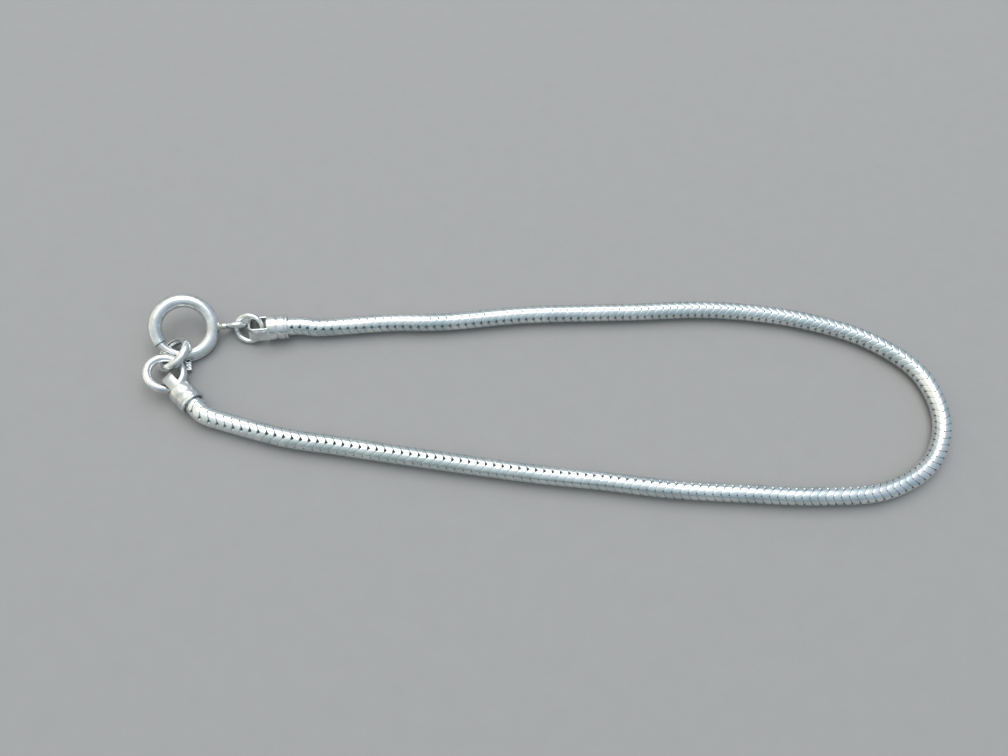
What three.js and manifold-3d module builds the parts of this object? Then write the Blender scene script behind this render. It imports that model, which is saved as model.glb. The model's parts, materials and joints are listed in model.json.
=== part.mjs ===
// A silver snake-chain bracelet, fastened with a spring-ring clasp and lying on a surface
// as a long narrow loop. Millimetres, +Z up. The loop's long side lies along X and the clasp
// is at -X. The pieces are placed about a point near the loop's middle, and the whole is moved
// at the end so that the origin is on the surface under the middle of its bounding box.
import * as THREE from 'three';
import { mergeVertices } from 'three/addons/utils/BufferGeometryUtils.js';
import Module from 'manifold-3d';

const wasm = await Module();
wasm.setup();

// ---- driving dimensions ----
const CHAIN_RADIUS = 1.07;
const GROOVE_DEPTH = 0.13;
const LINK_PITCH = 0.93;
const CHAIN_SIDES = 12;
const SEAM_WAVES = 3; // points of the zigzag seam around the chain
const SEAM_REACH = 0.3; // height of the zigzag to each side, in link pitches

const COLLAR_RADIUS = 1.45;
const COLLAR_SIDES = 20;
const COLLAR_LIFT = COLLAR_RADIUS * Math.cos(Math.PI / COLLAR_SIDES); // one flat facet is down
const COLLAR_LENGTH = 2.4;
const SOCKET_DEPTH = 1.5; // how far the chain's end goes into the collar
const SOCKET_PLAY = 0.16;
const STRAP_THICKNESS = 0.3;
const STRAP_HALF_SPAN = 1.15; // from the collar's axis to the middle of each leg
const STRAP_REACH = 1.95; // from the collar's face to the middle of the bend
const STRAP_CORNER = 0.8;

const CLASP_RADIUS = 3.12; // middle of the tube
const TUBE_RADIUS = 0.78;
const BORE_RADIUS = 0.6;
const BOLT_RADIUS = 0.46;
const GAP_START = 213; // degrees about the clasp's axis from the neck to the tube's open ends
const GAP_END = 265;
const BOLT_TIP = 207;
const BOLT_TAIL = 306;
const NUB_ANGLE = 273.5;
const NUB_TRAVEL = 50;
const NUB_LIFT = 14; // degrees that the slot and the nub stand above the clasp's own plane
const SLOT_WIDTH = 0.5;
const NECK_LENGTH = 0.54;
const NECK_RADIUS = 0.3;
const TAIL_RING_RADIUS = 1;
const TAIL_WIRE = 0.32;

const surface = {
  silver: { color: 0xd9dbd8, roughness: 0.22, metalness: 1 },
  chain: { color: 0xd2d6d4, roughness: 0.26, metalness: 1 },
};

// Where each loose ring lies: its middle, its wire, how far its plane leans from flat, and
// the compass direction of its lowest side (degrees from +X towards +Y).
const rings = [
  { name: 'link_ring', at: [-44.02, 0.46, 1.64], radius: 1.92, wire: 0.48, lean: 37.2, lowSide: 164.4 },
  { name: 'large_jump_ring', at: [-44.41, -2.09, 1.79], radius: 1.9, wire: 0.5, lean: 17.9, lowSide: 1.7 },
  { name: 'thin_jump_ring', at: [-36.27, 4.71, 1.36], radius: 1.5, wire: 0.32, lean: 43.4, lowSide: 261.8 },
];

// The clasp's middle, how far it leans and towards which side, and where its neck points.
const claspPlace = { x: -43.33, y: 3.7, lean: 27, lowSide: -58.5, neck: 11 };

// Each end cap: the middle of the collar's face on the strap's side, the compass direction
// from there to the chain, and the strap's width and its turn about that line.
const caps = [
  { name: 'upper_end_cap', x: -34.21, y: 4.86, heading: 10, strapWidth: 1.7, strapTurn: -22 },
  { name: 'lower_end_cap', x: -42.49, y: -3.85, heading: -41.6, strapWidth: 1.35, strapTurn: -80 },
];

// The chain's route on the surface, seen from above, from the upper cap to the lower one.
const route = [
  { x: -28.5, y: 5.6 },
  { x: -20, y: 7 },
  { x: -14, y: 7.6 },
  { x: -4, y: 9.45 },
  { x: 3, y: 10.3 },
  { x: 9, y: 10.95 },
  { x: 20, y: 12.2 },
  { x: 31, y: 11.7 },
  { x: 40, y: 9.25 },
  { x: 45.6, y: 4.9 },
  { x: 47, y: -1 },
  { x: 44.6, y: -6.6 },
  { x: 38.6, y: -10.5 },
  { x: 30, y: -11.79 },
  { x: 21, y: -11.97 },
  { x: 13, y: -11.98 },
  { x: 5, y: -11.5 },
  { x: -3, y: -11.1 },
  { x: -17, y: -9.92 },
  { x: -25, y: -9.15 },
  { x: -30, y: -8.7 },
  { x: -36.6, y: -7.3 },
];

// How far the links have turned about the chain, at some lengths from its upper end.
const twist = [
  { at: 3, turn: 110 },
  { at: 16, turn: 88 },
  { at: 23, turn: 93 },
  { at: 45, turn: 84 },
  { at: 82, turn: 70 },
  { at: 91, turn: 82 },
  { at: 100, turn: 98 },
  { at: 107, turn: 120 },
  { at: 125, turn: 129 },
  { at: 142, turn: 147 },
  { at: 163, turn: 161 },
  { at: 178, turn: 190 },
];

function silverMesh(name, geometry, look) {
  const mesh = new THREE.Mesh(geometry, new THREE.MeshStandardMaterial(look));
  mesh.name = name;
  return mesh;
}

// Booleans: a closed geometry becomes a solid and goes back again.
function toSolid(geometry) {
  const bare = geometry.clone();
  bare.deleteAttribute('normal');
  bare.deleteAttribute('uv');
  const merged = mergeVertices(bare, 1e-4);
  return new wasm.Manifold(
    new wasm.Mesh({
      numProp: 3,
      vertProperties: new Float32Array(merged.attributes.position.array),
      triVerts: new Uint32Array(merged.index.array),
    }),
  );
}

function toGeometry(solid) {
  const { vertProperties, triVerts } = solid.getMesh();
  const geometry = new THREE.BufferGeometry();
  geometry.setAttribute('position', new THREE.BufferAttribute(vertProperties, 3));
  geometry.setIndex(new THREE.BufferAttribute(triVerts, 1));
  geometry.computeVertexNormals();
  return geometry;
}

// A bent bar about the local Z axis, from one angle to another. The points of its section
// are given as x outwards from the bend's axis and y up along it.
function arcBar(arcRadius, section, fromDegrees, toDegrees, steps) {
  const start = THREE.MathUtils.degToRad(fromDegrees);
  const sweep = THREE.MathUtils.degToRad(toDegrees - fromDegrees);
  class Arc extends THREE.Curve {
    getPoint(t, target = new THREE.Vector3()) {
      const angle = start + sweep * t;
      return target.set(arcRadius * Math.cos(angle), arcRadius * Math.sin(angle), 0);
    }
  }
  // the extrusion's own section runs down and inwards
  const shape = new THREE.Shape(section.map(({ x, y }) => new THREE.Vector2(-y, -x)));
  return new THREE.ExtrudeGeometry(shape, { steps, bevelEnabled: false, extrudePath: new Arc() });
}

function circlePoints(radius, sides) {
  return Array.from({ length: sides }, (_, side) => {
    const angle = (2 * Math.PI * (side + 0.5)) / sides;
    return new THREE.Vector2(radius * Math.cos(angle), radius * Math.sin(angle));
  });
}

// Lays a piece whose axis is its local Z: leans it by so many degrees towards lowSide.
function layDown(object, { at, lean, lowSide }) {
  const side = THREE.MathUtils.degToRad(lowSide);
  const hinge = new THREE.Vector3(-Math.sin(side), Math.cos(side), 0);
  object.position.set(...at);
  object.quaternion.setFromAxisAngle(hinge, THREE.MathUtils.degToRad(lean));
  return object;
}

function jumpRing(place) {
  const geometry = new THREE.TorusGeometry(place.radius, place.wire, 10, 28);
  return layDown(silverMesh(place.name, geometry, surface.silver), place);
}

// ---- the clasp: its axis is local Z and its neck points along local +X ----
function boltRing() {
  const tube = circlePoints(TUBE_RADIUS, 14);
  let body = toSolid(arcBar(CLASP_RADIUS, tube, GAP_END - 360, GAP_START, 32));

  const neckStart = CLASP_RADIUS + 0.5 * (TUBE_RADIUS + BORE_RADIUS);
  const tailX = CLASP_RADIUS + TUBE_RADIUS + NECK_LENGTH + TAIL_WIRE + TAIL_RING_RADIUS;
  const neckEnd = tailX - TAIL_RING_RADIUS;
  const neck = new THREE.CylinderGeometry(NECK_RADIUS, NECK_RADIUS, neckEnd - neckStart, 10);
  neck.rotateZ(Math.PI / 2);
  neck.translate((neckStart + neckEnd) / 2, 0, 0);
  body = body.add(toSolid(neck));

  const tailRing = new THREE.TorusGeometry(TAIL_RING_RADIUS, TAIL_WIRE, 8, 20);
  tailRing.rotateX(Math.PI / 2);
  tailRing.translate(tailX, 0, 0);
  body = body.add(toSolid(tailRing));

  const bore = circlePoints(BORE_RADIUS, 12);
  body = body.subtract(toSolid(arcBar(CLASP_RADIUS, bore, GAP_END - 365, GAP_START + 5, 32)));

  // the slot that the nub slides in, open at the tube's end
  const slot = raisedBox(0.2, TUBE_RADIUS + 0.4, SLOT_WIDTH);
  const slotEnd = NUB_ANGLE + NUB_TRAVEL + 9;
  body = body.subtract(toSolid(arcBar(CLASP_RADIUS, slot, GAP_END - 3, slotEnd, 12)));
  return silverMesh('bolt_ring', toGeometry(body), surface.silver);
}

// A rectangle in the tube's section that stands out from its middle at NUB_LIFT.
function raisedBox(from, to, width) {
  const corners = [
    [from, -width / 2],
    [to, -width / 2],
    [to, width / 2],
    [from, width / 2],
  ];
  const turn = THREE.MathUtils.degToRad(NUB_LIFT);
  return corners.map(([x, y]) => new THREE.Vector2(x, y).rotateAround(new THREE.Vector2(), turn));
}

// The bolt with its thumb nub, a stem through the slot and a ridged head outside it.
function claspBolt() {
  const rod = circlePoints(BOLT_RADIUS, 12);
  let body = toSolid(arcBar(CLASP_RADIUS, rod, BOLT_TIP, BOLT_TAIL, 14));
  const head = TUBE_RADIUS + 0.14;
  const nubParts = [
    { from: 0, to: head + 0.1, width: 0.3, length: 0.36 },
    { from: head, to: head + 0.24, width: 0.62, length: 0.8 },
    { from: head + 0.14, to: head + 0.52, width: 0.46, length: 0.6 },
    { from: head + 0.4, to: head + 0.64, width: 0.62, length: 0.8 },
    { from: head + 0.54, to: head + 0.92, width: 0.46, length: 0.6 },
    { from: head + 0.8, to: head + 1.06, width: 0.56, length: 0.72 },
  ];
  for (const { from, to, width, length } of nubParts) {
    const block = new THREE.BoxGeometry(to - from, length, width);
    block.translate((from + to) / 2, 0, 0);
    block.rotateY(-THREE.MathUtils.degToRad(NUB_LIFT));
    block.translate(CLASP_RADIUS, 0, 0);
    block.rotateZ(THREE.MathUtils.degToRad(NUB_ANGLE));
    body = body.add(toSolid(block));
  }
  return silverMesh('clasp_bolt', toGeometry(body), surface.silver);
}

function clasp() {
  const { x, y, lean, lowSide, neck } = claspPlace;
  const z = CLASP_RADIUS * Math.sin(THREE.MathUtils.degToRad(lean)) + TUBE_RADIUS;
  const group = layDown(new THREE.Group(), { at: [x, y, z], lean, lowSide });
  group.rotateZ(THREE.MathUtils.degToRad(neck));
  group.add(boltRing(), claspBolt());
  return group;
}

// ---- the end caps: local +X runs from the strap to the chain ----
function endCap({ name, x, y, heading, strapWidth, strapTurn }) {
  const ring = collar();
  ring.rotateX(Math.PI / COLLAR_SIDES);
  const loop = strap(strapWidth);
  loop.rotateX(THREE.MathUtils.degToRad(strapTurn));
  const socket = new THREE.CylinderGeometry(
    CHAIN_RADIUS + SOCKET_PLAY,
    CHAIN_RADIUS + SOCKET_PLAY,
    SOCKET_DEPTH * 2,
    COLLAR_SIDES,
  );
  socket.rotateZ(Math.PI / 2);
  socket.translate(COLLAR_LENGTH, 0, 0);
  const body = toSolid(ring).add(toSolid(loop)).subtract(toSolid(socket));
  const mesh = silverMesh(name, toGeometry(body), surface.silver);
  mesh.position.set(x, y, COLLAR_LIFT);
  mesh.rotation.z = THREE.MathUtils.degToRad(heading);
  return mesh;
}

// Turned collar with two plain bands between narrower grooves.
function collar() {
  const groove = COLLAR_RADIUS - 0.1;
  const profile = [
    [0, 0],
    [COLLAR_RADIUS - 0.12, 0],
    [COLLAR_RADIUS, 0.12],
    [COLLAR_RADIUS, 1.0],
    [groove, 1.08],
    [groove, 1.24],
    [COLLAR_RADIUS, 1.32],
    [COLLAR_RADIUS, 1.95],
    [groove, 2.03],
    [groove, 2.12],
    [COLLAR_RADIUS, 2.2],
    [COLLAR_RADIUS, COLLAR_LENGTH],
    [0, COLLAR_LENGTH],
  ].map(([radius, along]) => new THREE.Vector2(radius, along));
  const geometry = new THREE.LatheGeometry(profile, COLLAR_SIDES);
  geometry.rotateZ(-Math.PI / 2);
  return geometry;
}

// Flat strap bent to a U with rounded corners; its legs stand on the collar's face.
function strap(width) {
  const outline = new THREE.Shape();
  const outer = STRAP_HALF_SPAN + STRAP_THICKNESS / 2;
  const inner = STRAP_HALF_SPAN - STRAP_THICKNESS / 2;
  const outerEnd = -STRAP_REACH - STRAP_THICKNESS / 2;
  const innerEnd = -STRAP_REACH + STRAP_THICKNESS / 2;
  const corner = STRAP_CORNER;
  const root = 0.3;
  outline.moveTo(root, -outer);
  outline.lineTo(outerEnd + corner, -outer);
  outline.absarc(outerEnd + corner, -outer + corner, corner, -Math.PI / 2, -Math.PI, true);
  outline.lineTo(outerEnd, outer - corner);
  outline.absarc(outerEnd + corner, outer - corner, corner, Math.PI, Math.PI / 2, true);
  outline.lineTo(root, outer);
  outline.lineTo(root, inner);
  const turn = corner - STRAP_THICKNESS;
  outline.absarc(innerEnd + turn, inner - turn, turn, Math.PI / 2, Math.PI, false);
  outline.absarc(innerEnd + turn, -inner + turn, turn, Math.PI, Math.PI * 1.5, false);
  outline.lineTo(root, -inner);
  outline.closePath();
  const geometry = new THREE.ExtrudeGeometry(outline, {
    depth: width,
    bevelEnabled: false,
    curveSegments: 4,
  });
  geometry.translate(0, 0, -width / 2);
  return geometry;
}

// ---- the chain ----
// The chain leaves each collar along its axis and sinks from the collar's height to lie on
// the surface within the first few millimetres.
function chainPath() {
  const ends = caps.map(({ x, y, heading }) => {
    const angle = THREE.MathUtils.degToRad(heading);
    return [COLLAR_LENGTH - SOCKET_DEPTH + 0.3, COLLAR_LENGTH, COLLAR_LENGTH + 1.6].map(
      (along, step) =>
        new THREE.Vector3(
          x + along * Math.cos(angle),
          y + along * Math.sin(angle),
          step < 2 ? COLLAR_LIFT : COLLAR_LIFT - 0.12,
        ),
    );
  });
  const middle = route.map(({ x, y }) => new THREE.Vector3(x, y, CHAIN_RADIUS));
  const points = [...ends[0], ...middle, ...ends[1].reverse()];
  const path = new THREE.CatmullRomCurve3(points, false, 'centripetal');
  path.arcLengthDivisions = 1200;
  return path;
}

// One ring of ridge and one of groove for each link, both zigzagging around the chain.
function snakeChain() {
  const path = chainPath();
  const length = path.getLength();
  const links = Math.round(length / LINK_PITCH);
  const rows = 2 * links;
  const geometry = new THREE.CylinderGeometry(1, 1, rows, CHAIN_SIDES, rows);
  const position = geometry.attributes.position;
  const point = new THREE.Vector3();
  const up = new THREE.Vector3(0, 0, 1);
  for (let i = 0; i < position.count; i += 1) {
    point.fromBufferAttribute(position, i);
    const row = Math.round(rows / 2 - point.y);
    const reach = Math.hypot(point.x, point.z);
    const angle = Math.atan2(point.x, point.z);
    const isEnd = row === 0 || row === rows;
    const radius = reach * (CHAIN_RADIUS - (row % 2 === 0 ? GROOVE_DEPTH : 0));
    const shift = isEnd ? 0 : SEAM_REACH * seamWave(angle);
    const along = Math.min(Math.max((row / 2 + shift) / links, 0), 1);
    const centre = path.getPointAt(along);
    centre.z = Math.max(centre.z, CHAIN_RADIUS);
    const tangent = path.getTangentAt(along);
    const side = new THREE.Vector3().crossVectors(tangent, up).normalize();
    const top = new THREE.Vector3().crossVectors(side, tangent);
    const turned = angle + THREE.MathUtils.degToRad(twistAt(along * length));
    centre.addScaledVector(side, radius * Math.cos(turned));
    centre.addScaledVector(top, radius * Math.sin(turned));
    position.setXYZ(i, centre.x, centre.y, centre.z);
  }
  geometry.deleteAttribute('normal');
  geometry.deleteAttribute('uv');
  const closed = mergeVertices(geometry, 1e-4);
  closed.computeVertexNormals();
  return silverMesh('snake_chain', closed, surface.chain);
}

function twistAt(distance) {
  const next = twist.findIndex(({ at }) => at > distance);
  if (next <= 0) {
    return next === 0 ? twist[0].turn : twist.at(-1).turn;
  }
  const [low, high] = [twist[next - 1], twist[next]];
  const share = (distance - low.at) / (high.at - low.at);
  return THREE.MathUtils.lerp(low.turn, high.turn, share);
}

// Triangle wave from -1 to 1 with SEAM_WAVES peaks in a full turn.
function seamWave(angle) {
  const phase = (((angle * SEAM_WAVES) / (2 * Math.PI)) % 1 + 1) % 1;
  return 4 * Math.abs(phase - 0.5) - 1;
}

// The whole loop, moved so that the origin is under the middle of its bounding box.
const loop = new THREE.Group();
loop.add(clasp(), ...rings.map(jumpRing), ...caps.map(endCap), snakeChain());
const box = new THREE.Box3().setFromObject(loop, true);
loop.position.set(-(box.min.x + box.max.x) / 2, -(box.min.y + box.max.y) / 2, -box.min.z);

const bracelet = new THREE.Group();
bracelet.name = 'bracelet';
bracelet.add(loop);

export default bracelet;
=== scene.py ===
import json
import math

import bpy
import numpy as np
from mathutils import Matrix, Vector


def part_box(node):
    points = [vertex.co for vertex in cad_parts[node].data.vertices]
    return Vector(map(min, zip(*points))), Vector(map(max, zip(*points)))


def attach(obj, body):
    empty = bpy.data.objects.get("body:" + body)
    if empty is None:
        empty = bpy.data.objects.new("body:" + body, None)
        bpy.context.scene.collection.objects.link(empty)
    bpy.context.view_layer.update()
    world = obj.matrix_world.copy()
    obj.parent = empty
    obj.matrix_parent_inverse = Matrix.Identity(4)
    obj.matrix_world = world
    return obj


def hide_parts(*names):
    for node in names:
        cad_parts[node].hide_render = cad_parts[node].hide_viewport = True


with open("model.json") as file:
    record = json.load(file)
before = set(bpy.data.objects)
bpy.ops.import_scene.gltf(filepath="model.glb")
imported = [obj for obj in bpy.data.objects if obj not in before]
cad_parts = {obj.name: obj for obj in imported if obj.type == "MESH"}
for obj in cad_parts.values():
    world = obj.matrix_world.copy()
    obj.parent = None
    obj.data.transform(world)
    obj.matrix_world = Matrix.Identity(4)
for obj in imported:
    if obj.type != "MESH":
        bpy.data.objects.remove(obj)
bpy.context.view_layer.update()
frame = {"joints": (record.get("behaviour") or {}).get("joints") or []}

# Silver snake-chain bracelet, fastened. Lengths in the dictionaries are millimetres, turned into metres
# where a mesh is made. Only the floor and the lamp are given in metres. Angles are degrees.
mm = 0.001


def boxMiddle(node):
    low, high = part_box(node)
    return (Vector(low) + Vector(high)) / (2 * mm)


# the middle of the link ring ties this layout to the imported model
linkRing = dict(at=(-44.02, 0.46, 1.64), radius=1.92, wire=0.48, lean=37.2, lowSide=164.4, cut=250,
                offset=0.05)
layoutShift = boxMiddle("link_ring") - Vector(linkRing["at"])
layoutShift.z = 0.0
print("layout shift", [round(v, 3) for v in layoutShift])


def bareMesh(name, points, faces):
    mesh = bpy.data.meshes.new(name)
    mesh.from_pydata([tuple(p) for p in np.asarray(points, float) * mm], [], faces)
    mesh.validate()
    mesh.shade_smooth()
    return mesh


def markPoints(mesh, name, values):
    mark = mesh.attributes.new(name, "FLOAT", "POINT")
    mark.data.foreach_set("value", values)


def addPiece(name, mesh, material, body, node):
    piece = bpy.data.objects.new(name, mesh)
    bpy.context.scene.collection.objects.link(piece)
    mesh.materials.append(material)
    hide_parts(node)
    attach(piece, body)
    return piece


def roundEdges(piece, width, sharpAngle):
    bevel = piece.modifiers.new("roundEdges", "BEVEL")
    bevel.width = width * mm
    bevel.segments = 2
    bevel.limit_method = "ANGLE"
    bevel.angle_limit = math.radians(sharpAngle)


def joinShells(*shells):
    points, faces = [], []
    for shellPoints, shellFaces in shells:
        first = len(points)
        points.extend(shellPoints)
        faces.extend([tuple(first + corner for corner in face) for face in shellFaces])
    return points, faces


def tubeFaces(rowCount, count, endless=False):
    # each row is joined to the next; an endless tube's last row to its first, otherwise both ends are capped
    faces = []
    for row in range(rowCount if endless else rowCount - 1):
        here = row * count
        ahead = (row + 1) % rowCount * count
        for c in range(count):
            n = (c + 1) % count
            faces.append((here + c, here + n, ahead + n, ahead + c))
    if not endless:
        faces.append(tuple(range(count - 1, -1, -1)))
        faces.append(tuple((rowCount - 1) * count + c for c in range(count)))
    return faces


def loftRows(rows, endless=False):
    points = [tuple(p) for row in rows for p in row]
    return points, tubeFaces(len(rows), len(rows[0]), endless)


def turnedPiece(profile, sides):
    # profile of (along, radius) about local X
    turns = [2 * math.pi * k / sides for k in range(sides)]
    rows = []
    for along, radius in profile:
        rows.append([(along, radius * math.cos(a), radius * math.sin(a)) for a in turns])
    return loftRows(rows)


def wireCircle(arcRadius, angle, wire, sides):
    # cross-section of a wire that runs round local Z
    row = []
    for k in range(sides):
        b = 2 * math.pi * k / sides
        reach = arcRadius + wire * math.cos(b)
        row.append((reach * math.cos(angle), reach * math.sin(angle), wire * math.sin(b)))
    return row


def moved(shell, matrix):
    points, faces = shell
    return [tuple(matrix @ Vector(p)) for p in points], faces


def turnAbout(axis, degrees):
    return Matrix.Rotation(math.radians(degrees), 4, axis)


def layDown(at, lean, lowSide):
    side = math.radians(lowSide)
    hinge = Vector((-math.sin(side), math.cos(side), 0))
    return Matrix.Translation(Vector(at)) @ turnAbout(hinge, lean)


# finishes
fittingFinish = dict(bright=(0.9, 0.905, 0.895), dull=(0.52, 0.565, 0.56), cloudSize=1.5,
                     roughLow=0.11, roughHigh=0.32, scratch=0.16, scratchSize=0.05)
chainFinish = dict(bright=(0.86, 0.89, 0.885), dull=(0.56, 0.64, 0.645), cloudSize=3.0,
                   roughLow=0.16, roughHigh=0.32, scratch=0.1, scratchSize=0.06)
# where in the noise the metal is dull and bright, and where it is rough and smooth
cloudLook = dict(detail=5, roughness=0.6, dullAt=0.3, brightAt=0.62, roughAt=0.3, smoothAt=0.7)
wearLook = dict(detail=3, stretch=(1, 0.25, 0.6), turn=(0.3, 0.2, 0.7), depth=0.02)
# near-black painted shade, mixed into the colour of chain seams and openings, the clasp's bore and the straps
# wherever the mark is set
paintedShadeColour = (0.035, 0.045, 0.045)
solderColour = (0.82, 0.78, 0.64)


def tintWhereMarked(nodes, links, colour, attributeName, tint):
    mark = nodes.new("ShaderNodeAttribute")
    mark.attribute_name = attributeName
    mixed = nodes.new("ShaderNodeMix")
    mixed.data_type = "RGBA"
    mixed.inputs["B"].default_value = (*tint, 1)
    links.new(mark.outputs["Fac"], mixed.inputs["Factor"])
    links.new(colour, mixed.inputs["A"])
    return mixed.outputs["Result"]


def addCloudColour(nodes, links, finish, cloud):
    tint = nodes.new("ShaderNodeValToRGB")
    dull, bright = tint.color_ramp.elements
    dull.position = cloudLook["dullAt"]
    dull.color = (*finish["dull"], 1)
    bright.position = cloudLook["brightAt"]
    bright.color = (*finish["bright"], 1)
    links.new(cloud, tint.inputs["Fac"])
    return tint.outputs["Color"]


def addCloudRoughness(nodes, links, finish, cloud):
    rough = nodes.new("ShaderNodeMapRange")
    rough.inputs["From Min"].default_value = cloudLook["roughAt"]
    rough.inputs["From Max"].default_value = cloudLook["smoothAt"]
    rough.inputs["To Min"].default_value = finish["roughHigh"]
    rough.inputs["To Max"].default_value = finish["roughLow"]
    links.new(cloud, rough.inputs["Value"])
    return rough.outputs["Result"]


def addScratches(nodes, links, finish, place):
    stretch = nodes.new("ShaderNodeMapping")
    stretch.inputs["Scale"].default_value = wearLook["stretch"]
    stretch.inputs["Rotation"].default_value = wearLook["turn"]
    links.new(place, stretch.inputs["Vector"])
    wear = nodes.new("ShaderNodeTexNoise")
    wear.inputs["Scale"].default_value = 1 / (finish["scratchSize"] * mm)
    wear.inputs["Detail"].default_value = wearLook["detail"]
    links.new(stretch.outputs["Vector"], wear.inputs["Vector"])
    bump = nodes.new("ShaderNodeBump")
    bump.inputs["Strength"].default_value = finish["scratch"]
    bump.inputs["Distance"].default_value = wearLook["depth"] * mm
    links.new(wear.outputs["Fac"], bump.inputs["Height"])
    return bump.outputs["Normal"]


def silverMaterial(name, finish):
    material = bpy.data.materials.new(name)
    material.use_nodes = True
    nodes, links = material.node_tree.nodes, material.node_tree.links
    shader = nodes["Principled BSDF"]
    shader.inputs["Metallic"].default_value = 1.0
    place = nodes.new("ShaderNodeTexCoord").outputs["Object"]

    cloud = nodes.new("ShaderNodeTexNoise")
    cloud.inputs["Scale"].default_value = 1 / (finish["cloudSize"] * mm)
    cloud.inputs["Detail"].default_value = cloudLook["detail"]
    cloud.inputs["Roughness"].default_value = cloudLook["roughness"]
    links.new(place, cloud.inputs["Vector"])

    colour = addCloudColour(nodes, links, finish, cloud.outputs["Fac"])
    # painted shade: the colour is pulled toward near-black as far as the mark reaches
    colour = tintWhereMarked(nodes, links, colour, "paintedShadeMark", paintedShadeColour)
    colour = tintWhereMarked(nodes, links, colour, "solder", solderColour)
    links.new(colour, shader.inputs["Base Color"])
    links.new(addCloudRoughness(nodes, links, finish, cloud.outputs["Fac"]), shader.inputs["Roughness"])
    links.new(addScratches(nodes, links, finish, place), shader.inputs["Normal"])
    return material


fittingSilver = silverMaterial("fittingSilver", fittingFinish)
chainSilver = silverMaterial("chainSilver", chainFinish)
print("finishes made")

# snake chain, and the end caps' places that its ends start from
endCaps = {
    "upper_end_cap": dict(x=-34.21, y=4.86, heading=10, groove=1.33,
                          strapWidth=1.7, strapTurn=-22, strapShade=0.05),
    "lower_end_cap": dict(x=-42.49, y=-3.85, heading=-41.6, groove=1.4,
                          strapWidth=1.35, strapTurn=-80, strapShade=0.34),
}
# the chain ends floorGap short of the socket's floor; at runOut past the mouth it has sunk by drop
collar = dict(radius=1.45, sides=20, length=2.4, socketDepth=1.5, socketPlay=0.16,
              floorGap=0.3, runOut=1.6, drop=0.12)
collar["lift"] = collar["radius"] * math.cos(math.pi / collar["sides"])

chain = dict(
    radius=1.07, pitch=0.93, waves=3, zigzag=0.31, tipBend=0.6, crown=0.006, step=0.02, rim=0.012,
    frontTip=dict(spread=0.22, opening=0.07), backTip=dict(spread=0.46, opening=0.27),
    seamGap=0.036, widerBack=0.35, widerFlank=0.6, seamDepth=0.09, openingDepth=0.5,
    # how much painted shade goes into the seams, more along the open flank and on the front rim
    seamShade=0.55, flankShade=0.7, frontShade=0.4, lopsided=0.5, unevenness=0.004, seed=7, tangentStep=0.05,
    # where a link's columns stand about each tip
    stops=(-30, -21, -13.5, -9, -4.5, 0, 4.5, 9, 13.5, 21),
    # how far the links have turned about the chain, at some lengths from its upper end
    twist=[(3, 110), (16, 86), (23, 90), (33, 85), (45, 81), (62, 76), (82, 69), (91, 82), (100, 98),
           (107, 120), (125, 129), (142, 147), (163, 161), (168.6, 166), (171.3, 171), (173, 178), (175, 192),
           (176.5, 199), (182, 201)],
    route=[(-28.5, 5.6), (-20, 7), (-14, 7.6), (-4, 9.45), (3, 10.3), (9, 10.95), (20, 12.2), (31, 11.7),
           (40, 9.25), (45.6, 4.9), (47, -1), (44.6, -6.6), (38.6, -10.5), (30, -11.79), (21, -11.97),
           (13, -11.98), (5, -11.5), (-3, -11.1), (-17, -9.92), (-25, -9.15), (-30, -8.7), (-36.6, -7.3)],
)


def chainPoints():
    inSocket = collar["length"] - collar["socketDepth"] + collar["floorGap"]
    places = (
        (inSocket, collar["lift"]),
        (collar["length"], collar["lift"]),
        (collar["length"] + collar["runOut"], collar["lift"] - collar["drop"]),
    )
    ends = []
    for cap in endCaps.values():
        a = math.radians(cap["heading"])
        across, up = math.cos(a), math.sin(a)
        ends.append([(cap["x"] + along * across, cap["y"] + along * up, z) for along, z in places])
    middle = [(x, y, chain["radius"]) for x, y in chain["route"]]
    return np.array(ends[0] + middle + ends[1][::-1], float)


def chainCurve(points, perSpan=120):
    # centripetal Catmull-Rom through the points, the same curve as the solid's
    padded = np.vstack([2 * points[0] - points[1], points, 2 * points[-1] - points[-2]])
    t = np.linspace(0, 1, perSpan, endpoint=False)[:, None]
    samples = []
    for i in range(len(points) - 1):
        a, b, c, d = padded[i:i + 4]
        before, here, after = [max(np.linalg.norm(q - p) ** 0.5, 1e-4) for p, q in ((a, b), (b, c), (c, d))]
        startPull = ((b - a) / before - (c - a) / (before + here) + (c - b) / here) * here
        endPull = ((c - b) / here - (d - b) / (here + after) + (d - c) / after) * here
        square = -3 * b + 3 * c - 2 * startPull - endPull
        cube = 2 * b - 2 * c + startPull + endPull
        samples.append(b + startPull * t + square * t ** 2 + cube * t ** 3)
    samples.append(points[-1:])
    curve = np.vstack(samples)
    curve[:, 2] = np.maximum(curve[:, 2], chain["radius"])
    along = np.concatenate([[0], np.cumsum(np.linalg.norm(np.diff(curve, axis=0), axis=1))])
    return curve, along


def zigzagColumns():
    # columns stand closer together about each tip of the zigzag; the first tip is a forward one
    tipStep = 180 / chain["waves"]
    degrees = np.array([tip * tipStep + stop for tip in range(2 * chain["waves"]) for stop in chain["stops"]])
    wave = 4 * np.abs((degrees / (2 * tipStep)) % 1 - 0.5) - 1
    # one flank of each tongue lies open, the other one tight against its neighbour
    flank = chain["lopsided"] * np.sin(np.radians(180 * degrees / tipStep))
    return np.radians(degrees), wave, flank


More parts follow.
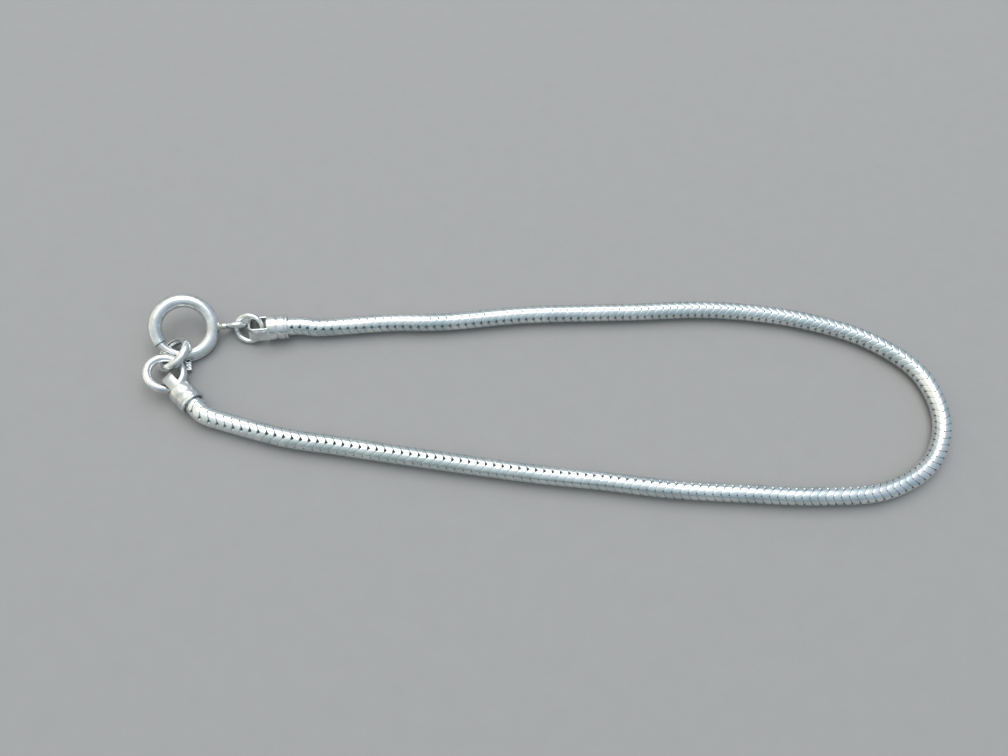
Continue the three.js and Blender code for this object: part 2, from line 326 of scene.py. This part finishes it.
def linkEdges(wave, flank):
    # each tongue stops short of the notch it points into, which leaves a small hole at the tip
    front, back, bend = chain["frontTip"], chain["backTip"], chain["tipBend"]
    curved = (1 - bend) * wave + bend * np.sin(np.pi / 2 * wave)
    spread = np.where(wave > 0, front["spread"], back["spread"] * (1 + 0.5 * flank))
    hole = np.clip((np.abs(wave) - (1 - spread)) / spread, 0, 1)
    half = np.where(wave > 0, front["opening"], back["opening"]) * hole / (2 * chain["zigzag"])
    frontEdge, backEdge = curved - half, curved + half
    edges = {
        "seam": (frontEdge + backEdge) / 2,
        "back": backEdge,
        "mid": curved * (1 - 0.3 * hole),
        "front": frontEdge,
    }
    return edges, hole


def linkRows(wave, flank):
    # the seam is widest at the backward tips and along the open flank
    gap = chain["seamGap"] * (1 - chain["widerBack"] * wave + chain["widerFlank"] * flank)
    rim = chain["rim"]
    # painted shade in the seam, darker along the open flank
    seamShade = chain["seamShade"] + chain["flankShade"] * flank
    # from the link's back seam to its front one: share of the pitch, edge, drop, painted shade, painted shade
    # round a hole
    return [
        (0.0, "seam", 0.0, seamShade, 1.0),
        (gap, "back", rim, 0.0, 0.8),
        (gap + 0.035, "back", rim * 0.15, 0.0, 0.3),
        (gap + 0.1, "back", 0.0, 0.0, 0.0),
        (0.5, "mid", 0.0, 0.0, 0.0),
        (0.9 - gap, "front", 0.0, 0.0, 0.0),
        (0.965 - gap, "front", rim * 0.15, 0.0, 0.3),
        (1 - gap, "front", rim * 0.5, chain["frontShade"] * seamShade, 1.0),
    ]


def chainFrame(s, curve, along):
    # the chain's middle at each place, and the ways to its side and its top
    def onCurve(places):
        return np.stack([np.interp(places, along, curve[:, k]) for k in range(3)], axis=-1)

    near = chain["tangentStep"]
    tangent = onCurve(np.minimum(s + near, along[-1])) - onCurve(np.maximum(s - near, 0))
    tangent /= np.linalg.norm(tangent, axis=-1, keepdims=True)
    side = np.cross(tangent, np.array([0.0, 0.0, 1.0]))
    side /= np.linalg.norm(side, axis=-1, keepdims=True)
    return onCurve(s), side, np.cross(side, tangent)


def buildChain():
    curve, along = chainCurve(chainPoints())
    length = along[-1]
    linkCount = round(length / chain["pitch"])
    pitch = length / linkCount
    angle, wave, flank = zigzagColumns()
    edges, hole = linkEdges(wave, flank)
    rows = linkRows(wave, flank)
    rng = np.random.default_rng(chain["seed"])
    rowCount, columns = linkCount * len(rows) + 1, len(angle)
    s, r, paintedShadeMark = np.zeros((3, rowCount, columns))
    row = 0
    for link in range(linkCount + 1):
        # no two links lie quite the same
        lean = rng.normal(0, chain["unevenness"])
        leanAngle = rng.uniform(0, 2 * np.pi)
        size = rng.normal(0, chain["unevenness"] * 0.5)
        for share, edgeName, drop, rowShade, holeShade in rows[:rowCount - row]:
            u = 2 * share - 1
            shape = drop + chain["crown"] * u * u + chain["step"] * (0.5 + 0.5 * u)
            depth = shape - size - lean * u * np.cos(angle - leanAngle)
            if edgeName == "seam":
                depth = chain["seamDepth"] + (chain["openingDepth"] - chain["seamDepth"]) * np.sqrt(hole)
            s[row] = (link + share + chain["zigzag"] * edges[edgeName]) * pitch
            r[row] = chain["radius"] - depth
            # painted shade: seams darkened, near-black round the holes at the tips
            paintedShadeMark[row] = rowShade + (1 - rowShade) * holeShade * hole
            row += 1
    s = np.clip(s, 0, length)
    centre, side, top = chainFrame(s, curve, along)
    at, turn = zip(*chain["twist"])
    turned = angle[None, :] + np.radians(np.interp(s, at, turn))
    points = centre + side * (r * np.cos(turned))[..., None] + top * (r * np.sin(turned))[..., None]
    points = points + np.array(layoutShift)
    faces = tubeFaces(rowCount, columns)
    mesh = bareMesh("snakeChain", points.reshape(-1, 3), faces)
    markPoints(mesh, "paintedShadeMark", paintedShadeMark.ravel())
    print("chain: %d links, %.1f mm long, %d faces" % (linkCount, length, len(faces)))
    addPiece("snakeChain", mesh, chainSilver, "bracelet", "snake_chain")


buildChain()

# end caps
strap = dict(thickness=0.3, halfSpan=1.15, reach=1.95, corner=0.8, cornerSteps=10, edge=0.12, root=0.3)
capProfile = dict(band=1.45, mouthPlay=0.05, sides=72)


def collarShell(groove):
    band = capProfile["band"]
    length = collar["length"]
    bore = chain["radius"] + collar["socketPlay"]
    mouth = chain["radius"] + capProfile["mouthPlay"]
    floor = length - collar["socketDepth"]
    outline = [
        # closed end and first band
        (0.0, 0.0), (0.0, 0.7), (0.0, band - 0.14), (0.025, band - 0.07), (0.07, band - 0.025), (0.14, band),
        (0.55, band), (1.0, band),
        # first groove, second band
        (1.05, band - 0.015), (1.09, groove + 0.02), (1.13, groove), (1.2, groove), (1.24, groove + 0.02),
        (1.28, band - 0.015), (1.33, band), (1.64, band), (1.93, band),
        # second groove, last band
        (1.97, band - 0.015), (2.0, groove + 0.02), (2.04, groove), (2.1, groove), (2.14, groove + 0.02),
        (2.17, band - 0.015), (2.21, band), (2.34, band), (2.385, band - 0.02), (length, band - 0.06),
        # mouth, then the socket down to its floor
        (length, mouth + 0.06), (length - 0.02, mouth + 0.015), (length - 0.06, mouth), (length - 0.2, mouth),
        (length - 0.28, bore), (floor + 0.05, bore), (floor, bore - 0.05), (floor, 0.5), (floor, 0.0),
    ]
    return turnedPiece(outline, capProfile["sides"])


def strapLine():
    # middle line of the U, out along one leg and back along the other
    half, reach, root = strap["halfSpan"], strap["reach"], strap["root"]
    corner = strap["corner"] - strap["thickness"] / 2
    straight = -reach + corner
    flat = 2 * (half - corner)
    quarter = [math.pi / 2 * k / strap["cornerSteps"] for k in range(strap["cornerSteps"] + 1)]
    line = [(root, -half), (0.0, -half)]
    line += [(straight * k / 4, -half) for k in range(1, 4)]
    line += [(straight - corner * math.sin(a), -half + corner - corner * math.cos(a)) for a in quarter]
    line += [(-reach, -half + corner + flat * k / 4) for k in range(1, 4)]
    line += [(straight - corner * math.cos(a), half - corner + corner * math.sin(a)) for a in quarter]
    line += [(straight * k / 4, half) for k in range(3, 0, -1)]
    line += [(0.0, half), (root, half)]
    return np.array(line)


def strapShell(width):
    # a flat section with rounded edges, swept along the middle line
    line = strapLine()
    tangent = np.gradient(line, axis=0)
    tangent /= np.linalg.norm(tangent, axis=1)[:, None]
    normal = np.stack([tangent[:, 1], -tangent[:, 0]], axis=1)
    w, h, e = width / 2, strap["thickness"] / 2, strap["edge"]
    section = []
    corners = ((w - e, h - e, 0), (-w + e, h - e, 90), (-w + e, -h + e, 180), (w - e, -h + e, 270))
    for cx, cy, start in corners:
        for k in range(4):
            a = math.radians(start + 30 * k)
            section.append((cx + e * math.cos(a), cy + e * math.sin(a)))
    rows = [[(p[0] + n[0] * b, p[1] + n[1] * b, a) for a, b in section] for p, n in zip(line, normal)]
    return loftRows(rows)


def buildEndCap(node, cap):
    at = Vector((cap["x"], cap["y"], collar["lift"])) + layoutShift
    place = Matrix.Translation(at) @ turnAbout("Z", cap["heading"])
    collarPart = moved(collarShell(cap["groove"]), place)
    strapPart = moved(strapShell(cap["strapWidth"]), place @ turnAbout("X", cap["strapTurn"]))
    mesh = bareMesh(node + "Piece", *joinShells(collarPart, strapPart))
    # the strap is darkened with painted shade, much more on the lower cap's strap
    markPoints(mesh, "paintedShadeMark", [0.0] * len(collarPart[0]) + [cap["strapShade"]] * len(strapPart[0]))
    addPiece(node + "Piece", mesh, fittingSilver, "bracelet", node)


for capNode, capPlace in endCaps.items():
    buildEndCap(capNode, capPlace)
print("end caps made")

# loose rings, each a wire bent round until its ends meet
largeRing = dict(radius=1.9, wire=0.5, lean=17.9, lowSide=1.7, cut=310, offset=0.03)
thinRing = dict(radius=1.5, wire=0.32, lean=43.4, lowSide=261.8, cut=200, offset=0.02)
# slipReach is about how far round from the cut the wire is still bent sideways
wireCut = dict(gap=0.05, chamfer=0.05, slipReach=25, steps=110, sides=36)


def buildWireRing(name, node, ring):
    start = math.degrees(wireCut["gap"] / 2 / ring["radius"])
    end = 360 - start
    chamfer = math.degrees(wireCut["chamfer"] / ring["radius"])
    between = list(np.linspace(start + chamfer, end - chamfer, wireCut["steps"]))[1:-1]
    stops = [start, start + chamfer * 0.3, start + chamfer]
    stops += between + [end - chamfer, end - chamfer * 0.3, end]
    rows = []
    for angle in stops:
        edge = min(min(angle - start, end - angle) / chamfer, 1)
        shrink = 1 - wireCut["chamfer"] / ring["wire"] * (1 - math.sqrt(max(0, 1 - (1 - edge) ** 2)))
        # the two ends sit a hair apart sideways
        startSlip = math.exp(-(angle / wireCut["slipReach"]) ** 2)
        endSlip = math.exp(-((360 - angle) / wireCut["slipReach"]) ** 2)
        slip = ring["offset"] * (startSlip - endSlip)
        a = math.radians(angle + ring["cut"])
        circle = wireCircle(ring["radius"], a, ring["wire"] * shrink, wireCut["sides"])
        rows.append([(x, y, z + slip) for x, y, z in circle])
    shell = moved(loftRows(rows), layDown(boxMiddle(node), ring["lean"], ring["lowSide"]))
    mesh = bareMesh(name, *shell)
    addPiece(name, mesh, fittingSilver, "bracelet", node)


buildWireRing("linkRingPiece", "link_ring", linkRing)
buildWireRing("largeRingPiece", "large_jump_ring", largeRing)
buildWireRing("thinRingPiece", "thin_jump_ring", thinRing)
print("loose rings made")

# spring-ring clasp
clasp = dict(radius=3.12, tube=0.78, bore=0.62, gapStart=213, gapEnd=265, lean=27, lowSide=-58.5, neck=11,
             neckLength=0.54, neckRadius=0.37, neckSides=40, solderReach=0.15, insideShade=0.88,
             tailRadius=1.0, tailWire=0.34, tailSteps=72, tailSides=24,
             slotLift=14, slotWidth=0.44, slotEnd=332, slotSteps=30, plainSteps=96, wallSides=45,
             edgeBevel=0.05, sharpAngle=50)
bolt = dict(radius=0.46, tip=207, tail=306, steps=60, sides=32, tipLength=0.8, tipFlat=0.15,
            nubAngle=273.5, nubLift=14, nubSides=28, nubSquareness=0.55, stem=0.15)
claspJoint = next(j for j in frame["joints"] if j["name"] == "bolt_slide")
claspAt = Vector(claspJoint["pos_m"]) / mm
claspPlace = layDown(claspAt, clasp["lean"], clasp["lowSide"]) @ turnAbout("Z", clasp["neck"])


def slottedTube():
    # outer wall and bore, left open along the thumb slot; walls then close every open edge
    half = math.degrees(math.asin(clasp["slotWidth"] / 2 / clasp["tube"]))
    lift, slotSteps = clasp["slotLift"], clasp["slotSteps"]
    slotColumns = 2
    wall = list(np.linspace(lift + half, lift - half + 360, clasp["wallSides"]))[1:-1]
    around = [lift - half, lift, lift + half] + wall
    start = clasp["gapEnd"] - 360
    slotEnd = clasp["slotEnd"] - 360
    stops = list(np.linspace(start, slotEnd, slotSteps + 1))
    stops += list(np.linspace(slotEnd, clasp["gapStart"], clasp["plainSteps"] + 1))[1:]
    count = len(around)

    def wallPoint(angle, roundAngle, radius):
        a, b = math.radians(angle), math.radians(roundAngle)
        reach = clasp["radius"] + radius * math.cos(b)
        return (reach * math.cos(a), reach * math.sin(a), radius * math.sin(b))

    outer = [wallPoint(a, b, clasp["tube"]) for a in stops for b in around]
    inner = [wallPoint(a, b, clasp["bore"]) for a in stops for b in around]
    shift = len(outer)
    faces, edges = [], []
    for i in range(len(stops) - 1):
        for c in range(slotColumns if i < slotSteps else 0, count):
            n = (c + 1) % count
            quad = (i * count + c, i * count + n, (i + 1) * count + n, (i + 1) * count + c)
            faces.append(quad)
            faces.append(tuple(shift + corner for corner in reversed(quad)))
            edges += [(quad[k], quad[(k + 1) % 4]) for k in range(4)]
    shared = set(edges)
    faces += [(q, p, shift + p, shift + q) for p, q in edges if (q, p) not in shared]
    return outer + inner, faces


def neckShell():
    # (along, how much wider than the neck), from the tube's edge and then from the neck's end
    tubeEdge = clasp["radius"] + clasp["tube"]
    fromTube = ((-0.14, 0.22), (-0.04, 0.2), (0.03, 0.11), (0.1, 0.04), (0.18, 0), (0.26, -0.01),
                (0.285, -0.05), (0.31, -0.05), (0.335, -0.01))
    fromEnd = ((-0.06, 0.01), (0.1, 0.04), (0.2, 0.02))
    profile = []
    for start, steps in ((tubeEdge, fromTube), (tubeEdge + clasp["neckLength"], fromEnd)):
        profile += [(start + along, clasp["neckRadius"] + wider) for along, wider in steps]
    return turnedPiece(profile, clasp["neckSides"])


def tailShell():
    # the small ring stands across the clasp, so its circles are turned upright
    middle = clasp["radius"] + clasp["tube"] + clasp["neckLength"] + clasp["tailWire"] + clasp["tailRadius"]
    rows = []
    for i in range(clasp["tailSteps"]):
        a = 2 * math.pi * i / clasp["tailSteps"]
        circle = wireCircle(clasp["tailRadius"], a, clasp["tailWire"], clasp["tailSides"])
        rows.append([(middle + x, -z, y) for x, y, z in circle])
    return loftRows(rows, endless=True)


def buildClaspBody():
    tube, neck, tail = slottedTube(), neckShell(), tailShell()
    mesh = bareMesh("claspBody", *moved(joinShells(tube, neck, tail), claspPlace))
    wall = len(tube[0]) // 2
    solderEnd = clasp["radius"] + clasp["tube"] + clasp["solderReach"]
    solder = [float(p[0] < solderEnd) for p in neck[0]]
    markPoints(mesh, "solder", [0.0] * len(tube[0]) + solder + [0.0] * len(tail[0]))
    # the second half of the tube's points is its inside
    # the bore is darkened with painted shade
    inside = [0.0] * wall + [clasp["insideShade"]] * wall
    markPoints(mesh, "paintedShadeMark", inside + [0.0] * (len(neck[0]) + len(tail[0])))
    piece = addPiece("claspBody", mesh, fittingSilver, "bracelet", "bolt_ring")
    roundEdges(piece, clasp["edgeBevel"], clasp["sharpAngle"])


def nubShell():
    head = clasp["tube"] + 0.14
    stem = bolt["stem"]
    # rows of (distance out, half width across, half length round the ring)
    rows = [(0.0, stem, 0.18), (head, stem, 0.18), (head + 0.01, 0.24, 0.33)]
    # three rounded ribs with a waist after each but the last: (how far out, thinner by, shorter by)
    rib = ((0.05, 0.02, 0.02), (0.12, 0, 0), (0.19, 0.02, 0.02), (0.24, 0.07, 0.08))
    waist = ((0.32, 0.09, 0.1), (0.39, 0.07, 0.08))
    for start, across, length, steps in ((0.0, 0.31, 0.4, rib + waist), (0.4, 0.31, 0.4, rib + waist),
                                         (0.8, 0.28, 0.36, rib)):
        rows += [(head + start + out, across - thinner, length - shorter) for out, thinner, shorter in steps]
    rows.append((head + 1.06, 0.1, 0.16))
    lift = math.radians(bolt["nubLift"])
    shape = []
    for out, across, length in rows:
        row = []
        for k in range(bolt["nubSides"]):
            a = 2 * math.pi * k / bolt["nubSides"]
            c, d = math.cos(a), math.sin(a)
            u = math.copysign(abs(c) ** bolt["nubSquareness"], c) * length
            v = math.copysign(abs(d) ** bolt["nubSquareness"], d) * across
            # out along the lift, v across it in the section, u round the ring
            x = clasp["radius"] + out * math.cos(lift) - v * math.sin(lift)
            z = out * math.sin(lift) + v * math.cos(lift)
            row.append((x, u, z))
        shape.append(row)
    return loftRows(shape)


def rodShell():
    sweep = bolt["tail"] - bolt["tip"]
    rows = []
    for i in range(bolt["steps"] + 1):
        t = i / bolt["steps"]
        # the tip is rounded, with a small flat left at its end
        near = t * sweep / math.degrees(bolt["radius"] / clasp["radius"])
        bulge = math.sqrt(max(0.0, 1 - (1 - min(near / bolt["tipLength"], 1)) ** 2))
        wire = bolt["radius"] * (bulge * (1 - bolt["tipFlat"]) + bolt["tipFlat"])
        rows.append(wireCircle(clasp["radius"], math.radians(bolt["tip"] + sweep * t), wire, bolt["sides"]))
    return loftRows(rows)


def buildBolt():
    nub = moved(nubShell(), turnAbout("Z", bolt["nubAngle"]))
    mesh = bareMesh("claspBoltPiece", *moved(joinShells(rodShell(), nub), claspPlace))
    addPiece("claspBoltPiece", mesh, fittingSilver, "bolt", "clasp_bolt")


buildClaspBody()
buildBolt()
print("clasp made")

# floor, light and camera
floorLook = dict(size=3.0, drop=0.00002, colour=(0.33, 0.323, 0.32), roughness=0.8,
                 grain=0.03, grainScale=400)
# tone of the studio from the camera's side (-1) over the top (0) to the far side (1), then from left to right
skyLook = dict(
    strength=1.08,
    acrossY=[(-1.0, (0.2, 0.23, 0.24)), (-0.85, (0.42, 0.49, 0.5)), (-0.55, (0.66, 0.73, 0.75)),
             (-0.15, (1.0, 1.0, 1.0)), (0.5, (0.82, 0.87, 0.89)), (1.0, (0.48, 0.51, 0.53))],
    acrossX=[(-1.0, (1.0, 0.93, 0.78)), (-0.45, (1.0, 1.0, 0.98)), (0.3, (0.79, 0.85, 0.92)),
             (1.0, (0.34, 0.4, 0.48))],
)
lampLook = dict(size=0.6, power=2.5, at=(-0.04, 0.22, 0.59))
cameraPlace = dict(at=(-13.5, -45.2, 89.42), right=(0.9951, 0.0268, 0.0956), up=(-0.0677, 0.8880, 0.4548),
                   lens=30.357, sensor=36, nearest=2, farthest=20000)


def buildFloor():
    h = floorLook["size"] / 2
    mesh = bpy.data.meshes.new("floor")
    mesh.from_pydata([(-h, -h, 0), (h, -h, 0), (h, h, 0), (-h, h, 0)], [], [(0, 1, 2, 3)])
    floor = bpy.data.objects.new("floor", mesh)
    floor.location.z = -floorLook["drop"]
    bpy.context.scene.collection.objects.link(floor)
    material = bpy.data.materials.new("paleFloor")
    material.use_nodes = True
    nodes, links = material.node_tree.nodes, material.node_tree.links
    shader = nodes["Principled BSDF"]
    shader.inputs["Roughness"].default_value = floorLook["roughness"]
    coords = nodes.new("ShaderNodeTexCoord")
    grain = nodes.new("ShaderNodeTexNoise")
    grain.inputs["Scale"].default_value = floorLook["grainScale"]
    links.new(coords.outputs["Object"], grain.inputs["Vector"])
    tone = nodes.new("ShaderNodeMix")
    tone.data_type = "RGBA"
    for socket, share in (("A", 1 - floorLook["grain"]), ("B", 1 + floorLook["grain"])):
        tone.inputs[socket].default_value = (*[c * share for c in floorLook["colour"]], 1)
    links.new(grain.outputs["Fac"], tone.inputs["Factor"])
    links.new(tone.outputs["Result"], shader.inputs["Base Color"])
    mesh.materials.append(material)


def buildSky():
    world = bpy.data.worlds.new("studio")
    bpy.context.scene.world = world
    world.use_nodes = True
    nodes, links = world.node_tree.nodes, world.node_tree.links
    back = nodes["Background"]
    back.inputs["Strength"].default_value = skyLook["strength"]
    coords = nodes.new("ShaderNodeTexCoord")
    parts = nodes.new("ShaderNodeSeparateXYZ")
    links.new(coords.outputs["Generated"], parts.inputs["Vector"])
    both = nodes.new("ShaderNodeMix")
    both.data_type = "RGBA"
    both.blend_type = "MULTIPLY"
    both.inputs["Factor"].default_value = 1.0
    for axis, key, socket in (("X", "acrossX", "A"), ("Y", "acrossY", "B")):
        place = nodes.new("ShaderNodeMapRange")
        place.inputs["From Min"].default_value = -1.0
        place.inputs["From Max"].default_value = 1.0
        links.new(parts.outputs[axis], place.inputs["Value"])
        ramp = nodes.new("ShaderNodeValToRGB")
        stops = skyLook[key]
        while len(ramp.color_ramp.elements) < len(stops):
            ramp.color_ramp.elements.new(0.5)
        for element, (position, colour) in zip(ramp.color_ramp.elements, stops):
            element.position = 0.5 + 0.5 * position
            element.color = (*colour, 1)
        links.new(place.outputs["Result"], ramp.inputs["Fac"])
        links.new(ramp.outputs["Color"], both.inputs[socket])
    links.new(both.outputs["Result"], back.inputs["Color"])


def buildLamp():
    lampData = bpy.data.lights.new("softbox", "AREA")
    lampData.shape = "SQUARE"
    lampData.size = lampLook["size"]
    lampData.energy = lampLook["power"]
    lamp = bpy.data.objects.new("softbox", lampData)
    lamp.location = lampLook["at"]
    lamp.rotation_euler = (-lamp.location).to_track_quat("-Z", "Y").to_euler()
    bpy.context.scene.collection.objects.link(lamp)


def buildCamera():
    data = bpy.data.cameras.new("view")
    data.sensor_width = cameraPlace["sensor"]
    data.sensor_fit = "HORIZONTAL"
    data.lens = cameraPlace["lens"]
    data.clip_start = cameraPlace["nearest"] * mm
    data.clip_end = cameraPlace["farthest"] * mm
    camera = bpy.data.objects.new("view", data)
    right = Vector(cameraPlace["right"]).normalized()
    up = Vector(cameraPlace["up"])
    up = (up - right * up.dot(right)).normalized()
    turn = Matrix((right, up, right.cross(up))).transposed().to_4x4()
    camera.matrix_world = Matrix.Translation((Vector(cameraPlace["at"]) + layoutShift) * mm) @ turn
    bpy.context.scene.collection.objects.link(camera)
    bpy.context.scene.camera = camera


buildFloor()
buildSky()
buildLamp()
buildCamera()
# under the default view transform the bright metal turns grey
bpy.context.scene.view_settings.view_transform = "Standard"
print("stage made")
